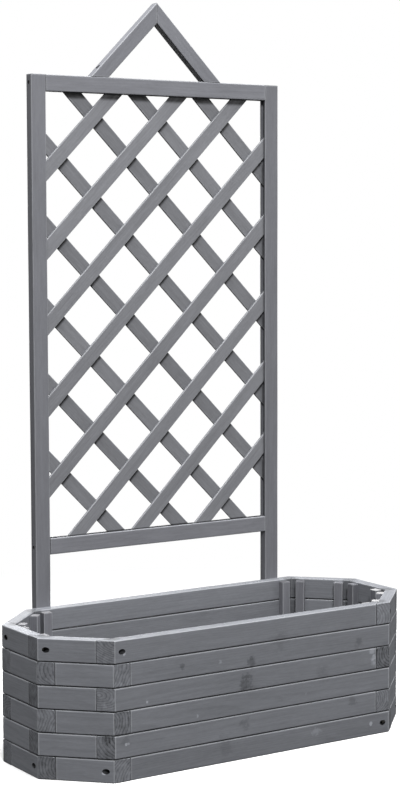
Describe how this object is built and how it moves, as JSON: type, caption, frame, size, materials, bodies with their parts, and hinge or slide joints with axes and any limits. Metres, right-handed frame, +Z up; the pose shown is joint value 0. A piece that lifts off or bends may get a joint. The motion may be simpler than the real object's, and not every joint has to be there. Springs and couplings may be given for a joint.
{
  "type": "planter with trellis",
  "caption": "Long eight-sided planter box of lapped wooden planks, with a lattice trellis and a small gable standing behind it.",
  "frame": {"origin": "on the ground, in the middle of the overall length and depth", "axes": "+X along the planter to its right end, +Y from the front to the trellis, +Z up"},
  "size_m": [1, 0.434, 1.729],
  "materials": {
    "plank_wood": "slate grey exterior stain, satin, grain showing",
    "batten_wood": "slate grey exterior stain, satin",
    "frame_wood": "slate grey exterior stain, satin, planed",
    "slat_wood": "slate grey exterior stain, thin coat, grain showing",
    "floor_wood": "sawn boards, thin grey stain",
    "screw_steel": "zinc plated, dulled"
  },
  "bodies": {
    "root": {"back_battens": "batten_wood", "back_plank_1": "plank_wood", "back_plank_2": "plank_wood", "back_plank_3": "plank_wood", "back_plank_4": "plank_wood", "back_plank_5": "plank_wood", "back_plank_6": "plank_wood", "back_screws": "screw_steel", "corner_screws": "screw_steel", "falling_slat_1": "slat_wood", "falling_slat_2": "slat_wood", "falling_slat_3": "slat_wood", "falling_slat_4": "slat_wood", "falling_slat_5": "slat_wood", "falling_slat_6": "slat_wood", "falling_slat_7": "slat_wood", "falling_slat_8": "slat_wood", "floor_boards": "floor_wood", "floor_ledgers": "floor_wood", "frame_screws": "screw_steel", "front_battens": "batten_wood", "front_plank_1": "plank_wood", "front_plank_2": "plank_wood", "front_plank_3": "plank_wood", "front_plank_4": "plank_wood", "front_plank_5": "plank_wood", "front_plank_6": "plank_wood", "gable_left_bar": "frame_wood", "gable_right_bar": "frame_wood", "gable_screws": "screw_steel", "left_back_battens": "batten_wood", "left_back_planks": "plank_wood", "left_end_battens": "batten_wood", "left_end_planks": "plank_wood", "left_front_battens": "batten_wood", "left_front_planks": "plank_wood", "left_post": "frame_wood", "lower_rail": "frame_wood", "right_back_battens": "batten_wood", "right_back_planks": "plank_wood", "right_end_battens": "batten_wood", "right_end_planks": "plank_wood", "right_front_battens": "batten_wood", "right_front_planks": "plank_wood", "right_post": "frame_wood", "rising_slat_1": "slat_wood", "rising_slat_2": "slat_wood", "rising_slat_3": "slat_wood", "rising_slat_4": "slat_wood", "rising_slat_5": "slat_wood", "rising_slat_6": "slat_wood", "rising_slat_7": "slat_wood", "rising_slat_8": "slat_wood", "top_rail": "frame_wood"}
  },
  "joints": []
}
